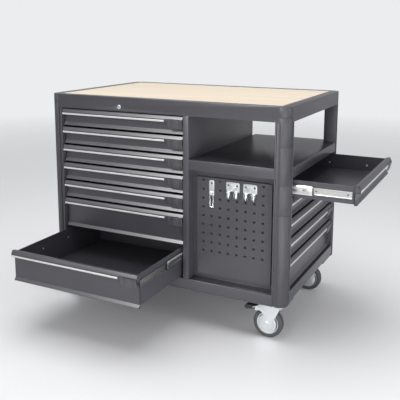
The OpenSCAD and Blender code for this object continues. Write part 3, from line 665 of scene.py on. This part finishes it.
# %% Build the twelve drawers
for d in drawers:
    drawer_front(d)
    drawer_tray(d)
    drawer_strip(d)
    drawer_rails(d)
    lever_pin(d)
    slide_stops(d)
    dress("latch_" + d.mark, lever_plastic, width=0.3)
    dress("slides_" + d.mark, slide_zinc, width=0.3)
print("drawers built:", len(drawers))

# %% [markdown]
# ## Small parts that repeat
#
# Rivets and the rolled rims of the perforations come in rows and grids. Geometry Nodes suit them: one tree
# lays out a grid of points from a few named sizes, puts one small part on every point, and can be run again
# with other sizes for the next panel or drawer. The result becomes a plain mesh, one for each body.

# %% Geometry node helpers
def geo_tree(name, inputs):
    """A geometry tree with named inputs: returns the tree and its input node's outputs."""
    tree = bpy.data.node_groups.new(name, "GeometryNodeTree")
    tree.interface.new_socket("Geometry", in_out="OUTPUT", socket_type="NodeSocketGeometry")
    for label, (kind, value) in inputs.items():
        socket = tree.interface.new_socket(label, in_out="INPUT", socket_type=kind)
        if value is not None:
            socket.default_value = value
    return tree, tree.nodes.new("NodeGroupInput").outputs


def repeat_on_grid(tree, given, part):
    """Puts a part on every point of a flat grid, gives it the Finish, and ends the tree."""
    grid = add(tree, "GeometryNodeMeshGrid", Size_X=given["Length"], Size_Y=given["Height"],
               Vertices_X=given["Columns"], Vertices_Y=given["Rows"])
    spots = add(tree, "GeometryNodeInstanceOnPoints", Points=grid.outputs[0], Instance=part)
    real = add(tree, "GeometryNodeRealizeInstances", Geometry=spots.outputs[0])
    painted = add(tree, "GeometryNodeSetMaterial", Geometry=real.outputs[0], Material=given["Finish"])
    ends = tree.nodes.new("NodeGroupOutput")
    tree.links.new(painted.outputs[0], ends.inputs[0])


GRID = {"Length": ("NodeSocketFloat", 0.1), "Height": ("NodeSocketFloat", 0.1),
        "Columns": ("NodeSocketInt", 2), "Rows": ("NodeSocketInt", 2),
        "Radius": ("NodeSocketFloat", 0.004), "Finish": ("NodeSocketMaterial", None)}


def grown(name, tree, spots, body, slot, **sizes):
    """Runs a tree at each matrix in spots and joins the results into one plain piece for a body."""
    label = {item.name: item.identifier for item in tree.interface.items_tree if item.in_out == "INPUT"}
    whole = bmesh.new()
    for spot in spots:
        holder = bpy.data.objects.new(name, bpy.data.meshes.new(name))
        bpy.context.scene.collection.objects.link(holder)
        modifier = holder.modifiers.new("grow", "NODES")
        modifier.node_group = tree
        for key, value in sizes.items():
            modifier[label[key]] = value
        holder.update_tag()
        result = holder.evaluated_get(bpy.context.evaluated_depsgraph_get())
        mesh = bpy.data.meshes.new_from_object(result)
        mesh.transform(spot)
        whole.from_mesh(mesh)
        holder.modifiers.remove(modifier)
        bpy.data.objects.remove(holder)
        bpy.data.meshes.remove(mesh)
    return piece(name, whole, Matrix.Identity(4), body, sizes["Finish"], slot)


# %% Trees: rim and rivet
RIM_BEAD, DOME_FLATNESS = 0.9, 0.4
rim_tree, given = geo_tree("perforation_shade_rims", GRID)
edge = add(rim_tree, "GeometryNodeCurvePrimitiveCircle", Resolution=32, Radius=given["Radius"])
bead = add(rim_tree, "GeometryNodeCurvePrimitiveCircle", Resolution=8, Radius=RIM_BEAD * MM)
rim = add(rim_tree, "GeometryNodeCurveToMesh", Curve=edge.outputs[0], Profile_Curve=bead.outputs[0])
repeat_on_grid(rim_tree, given, rim.outputs[0])

rivet_tree, given = geo_tree("dome_rivets", GRID)
dome = add(rivet_tree, "GeometryNodeMeshUVSphere", Segments=20, Rings=10, Radius=given["Radius"])
low_dome = add(rivet_tree, "GeometryNodeTransform", Geometry=dome.outputs[0],
               Scale=(1.0, 1.0, DOME_FLATNESS))
repeat_on_grid(rivet_tree, given, low_dome.outputs[0])

print("trees:", rim_tree.name, rivet_tree.name)

# %% Rims of the perforated panel, near black as painted shade in the holes
FACE_FRONT = Matrix.Rotation(math.radians(90), 4, "X")
PEG_PITCH, PEG_COLS, PEG_ROWS, PEG_R = 38.0, 8, 9, 5.0
# the first hole's distance from the panel's left edge and below the shelf
PEG_IN, PEG_DOWN = 50.0, 45.0
peg_wide, peg_high = (PEG_COLS - 1) * PEG_PITCH, (PEG_ROWS - 1) * PEG_PITCH
panel_left, panel_front, _ = spans("pegboard")[0]
shelf_low = spans("shelf")[0][2]
middle = Vector((panel_left + PEG_IN + peg_wide / 2, panel_front, shelf_low - PEG_DOWN - peg_high / 2))
# the rims take the near-black finish as painted shade: they darken the holes where the panel's own coat would
# read lighter
rims = grown("perforation_shade_rims", rim_tree, [Matrix.Translation(BENCH @ middle) @ FACE_FRONT], "cabinet",
             "anthracite_steel", Length=peg_wide * MM, Height=peg_high * MM, Columns=PEG_COLS,
             Rows=PEG_ROWS, Radius=PEG_R * MM, Finish=black_plastic)
print("rims:", PEG_COLS * PEG_ROWS, "triangles:", len(rims.data.polygons) * 2)

# %% Rivets on the tray walls
RIVET_R, RIVET_PITCH, RIVET_LOWER = 4.5, 176.0, 7.0
# how many rivets a tray wall has, and where the first one is
RIVET_ROWS = {"front": (3, 187.0), "side": (2, 110.0)}
for d in drawers:
    count, first = RIVET_ROWS[d.bank]
    row = (count - 1) * RIVET_PITCH
    turn = d.axes.to_3x3().normalized().to_4x4() @ Matrix.Rotation(math.radians(90), 4, "Z")
    spots = []
    for wall in (SLIDE_W + SHEET, d.bay - SLIDE_W - SHEET):
        spot = d.axes @ Vector((wall, first + row / 2, d.height - SLIDE_DROP - RIVET_LOWER))
        spots.append(Matrix.Translation(spot) @ turn @ FACE_FRONT)
    grown(f"{d.bank}_{d.number}_rivets", rivet_tree, spots, f"{d.bank}_drawer_{d.number}", "zinc_plate",
          Length=row * MM, Height=0.0, Columns=count, Rows=1, Radius=RIVET_R * MM, Finish=zinc)
print("rivet rows:", 2 * len(drawers))

# %% [markdown]
# ## Casters
#
# Forks and plates keep their CAD meshes. A wheel is two materials in one node, so it is built again as a
# rubber tyre and a zinc rim, both turned on a lathe from their profiles.

# %% Wheels
# a wheel stands on the floor, so its radius is the height of its axle
axles = {tag: in_bench(joint_of["wheel_" + tag]["pos_m"]) for tag in ("fl", "fr", "rl", "rr")}
WHEEL_R = axles["fl"][2]
RIM_R, HUB_R, BORE_R = 46.0, 16.0, 6.05
# the tyre's half widths at its tread, sides and foot, and how deep its shoulder and foot are
TREAD_HALF, TYRE_HALF, FOOT_HALF, SHOULDER, FOOT = 12.0, 16.0, 14.0, 7.0, 3.0
# the rim's half widths at its lip, web and hub, how deep its lip is and where its web starts
LIP_HALF, WEB_HALF, HUB_HALF, LIP, WEB_IN = 13.8, 7.0, 19.0, 4.0, 6.0
# the foot of the web on the hub
WEB_FOOT_R, WEB_FOOT_HALF = 18.0, 8.0
TYRE_RADII, RIM_RADII = (1.5, 5.0, 7.0, 7.0, 5.0, 1.5), (1.0, 3.0, 3.0, 1.0, 0.0, 0.0, 1.0, 3.0, 3.0, 1.0)
tyre_half = [(WHEEL_R, TREAD_HALF), (WHEEL_R - SHOULDER, TYRE_HALF), (RIM_R + FOOT, TYRE_HALF),
             (RIM_R, FOOT_HALF)]
rim_half = [(RIM_R, LIP_HALF), (RIM_R - LIP, LIP_HALF), (RIM_R - WEB_IN, WEB_HALF),
            (WEB_FOOT_R, WEB_FOOT_HALF), (HUB_R, HUB_HALF), (BORE_R, HUB_HALF)]
tyre_line, rim_line = [rounded([(r, -y) for r, y in half[::-1]] + half, radii)
                       for half, radii in ((tyre_half, TYRE_RADII), (rim_half, RIM_RADII))]
for tag, axle in axles.items():
    for part, line, material, slot in (("tyre", tyre_line, tyre_rubber, "tyre_rubber"),
                                       ("rim", rim_line, zinc, "zinc_plate")):
        bm = bmesh.new()
        lathe(bm, [tuple(p) for p in line], axle)
        piece(f"wheel_{tag}_{part}", bm, BENCH, f"wheel_{tag}", material, slot,
              replaces=[f"wheel_{tag}"] if part == "tyre" else ())
    dress(f"fork_{tag}", zinc, width=0.6)
for tag in ("fl", "fr"):
    dress(f"brake_{tag}", black_plastic, width=1.0)
print("wheels built:", len(axles))

# %% Heads of the brake pins
PIN_HEAD_R, FORK_OUT = 4.5, 23.0
for tag in ("fl", "fr"):
    x, y, z = in_bench(joint_of["brake_" + tag]["pos_m"])
    spots = [Matrix.Translation(BENCH @ Vector((x, y + side * FORK_OUT, z))) @ FACE_FRONT for side in (-1, 1)]
    grown(f"pin_heads_{tag}", rivet_tree, spots, f"caster_{tag}", "pedal_plastic", Length=0.0, Height=0.0,
          Columns=1, Rows=1, Radius=PIN_HEAD_R * MM, Finish=black_plastic)
print("brake pin heads on both sides of each front fork")

# %% [markdown]
# ## Studio
#
# A pale floor that fades out, an even pale world, and soft lamps: a large one overhead, one at the right, one
# low in front for the foot of the bench, and a weak one near the camera for the insides. The world shows as
# near white to the camera, and a little brighter in reflections than as light, so that steel and chrome have
# something to reflect. A tall lamp in front, left of the camera, shows only in reflections: the white glints
# on the ends of the pull bands.

# %% Floor and world
FLOOR_R, FADE_FROM, FADE_TO = 14.0, 2.2, 7.0
# the world's strength as light and as seen by the camera, how far mirrored rays go towards the second
LIGHTING, SHOWN, MIRRORED = 0.42, 0.9, 0.32
SKY = (0.93, 0.94, 0.96, 1.0)
floor_mesh = bpy.data.meshes.new("studio_floor")
bm = bmesh.new()
bmesh.ops.create_circle(bm, cap_ends=True, segments=96, radius=FLOOR_R)
bm.to_mesh(floor_mesh)
bm.free()
floor = bpy.data.objects.new("studio_floor", floor_mesh)
bpy.context.scene.collection.objects.link(floor)
floor_mat, tree, shader = new_material("pale_floor", Base_Color=(0.82, 0.82, 0.83, 1.0), Roughness=0.5)
place = tree.nodes.new("ShaderNodeTexCoord").outputs["Object"]
distance = add(tree, "ShaderNodeVectorMath", {"operation": "LENGTH"}, Vector=place).outputs["Value"]
fade = add(tree, "ShaderNodeMapRange", Value=distance, From_Min=FADE_FROM, From_Max=FADE_TO)
clear = tree.nodes.new("ShaderNodeBsdfTransparent")
blend = add(tree, "ShaderNodeMixShader", Fac=fade.outputs[0])
tree.links.new(shader.outputs[0], blend.inputs[1])
tree.links.new(clear.outputs[0], blend.inputs[2])
tree.links.new(blend.outputs[0], tree.nodes["Material Output"].inputs[0])
floor_mesh.materials.append(floor_mat)

world = bpy.data.worlds.new("studio_world")
bpy.context.scene.world = world
world.use_nodes = True
tree = world.node_tree
light_path = tree.nodes.new("ShaderNodeLightPath").outputs
seen = calc(tree, "MAXIMUM", light_path["Is Camera Ray"], light_path["Is Transmission Ray"])
seen = calc(tree, "MAXIMUM", seen, calc(tree, "MULTIPLY", light_path["Is Glossy Ray"], MIRRORED))
strength = spread(tree, seen, LIGHTING, SHOWN)
back = tree.nodes["Background"]
back.inputs[0].default_value = SKY
tree.links.new(strength, back.inputs[1])
print("floor and world ready")


# %% Lamps
def lamp(name, place, target, size, power, only_glints=False):
    """A soft rectangular lamp of a size and power at a place, turned towards a target."""
    data = bpy.data.lights.new(name, "AREA")
    data.shape = "RECTANGLE"
    data.size, data.size_y, data.energy = size[0], size[1], power
    obj = bpy.data.objects.new(name, data)
    obj.location = place
    obj.rotation_euler = (Vector(target) - Vector(place)).to_track_quat("-Z", "Y").to_euler()
    obj.visible_camera = False
    obj.visible_diffuse = not only_glints
    bpy.context.scene.collection.objects.link(obj)


lamp("overhead_lamp", (-0.5, 0.1, 3.8), (-0.1, 0.0, 0.0), size=(3.6, 3.6), power=112)
lamp("right_lamp", (3.5, -0.2, 1.4), (0.5, 0.1, 0.35), size=(2.0, 1.8), power=37)
lamp("front_lamp", (1.9, -2.0, 0.2), (0.35, -0.2, 0.05), size=(1.4, 0.35), power=38)
lamp("fill_lamp", (0.7, -3.2, 1.1), (0.1, -0.3, 0.3), size=(2.0, 1.2), power=22)
lamp("glint_lamp", (-0.95, -2.9, 3.1), (0.0, -0.2, 0.7), size=(0.6, 1.6), power=430, only_glints=True)
print("lamps:", len(bpy.data.lights))

# %% [markdown]
# ## Camera
#
# The camera was worked out from the photo's edges: 27 degrees to the right of the front, looking 10 degrees
# down. The uprights are nearly parallel in the photo, which takes a vertical shift. A moderate one keeps the
# other views framed.

# %% Camera
YAW, PITCH, ROLL = math.radians(26.792), math.radians(9.924), math.radians(0.13)
EYE = Vector((1.22687, -2.44856, 1.25535))
SENSOR_W, LENS, SHIFT_X, SHIFT_Y, FAR = 36.0, 57.045, 0.00179, -0.15, 200.0
forward = Vector((-math.sin(YAW) * math.cos(PITCH), math.cos(YAW) * math.cos(PITCH), -math.sin(PITCH)))
right = Vector((math.cos(YAW), math.sin(YAW), 0.0))
up = right.cross(forward)
right, up = right * math.cos(ROLL) + up * math.sin(ROLL), up * math.cos(ROLL) - right * math.sin(ROLL)
camera_data = bpy.data.cameras.new("camera")
camera_data.sensor_width = SENSOR_W
camera_data.lens = LENS
camera_data.shift_x, camera_data.shift_y = SHIFT_X, SHIFT_Y
camera_data.clip_end = FAR
camera = bpy.data.objects.new("camera", camera_data)
camera.matrix_world = Matrix.Translation(EYE) @ Matrix((right, up, -forward)).transposed().to_4x4()
bpy.context.scene.collection.objects.link(camera)
bpy.context.scene.camera = camera
bpy.context.scene.view_settings.view_transform = "Standard"
print("camera at", tuple(round(v, 3) for v in EYE))
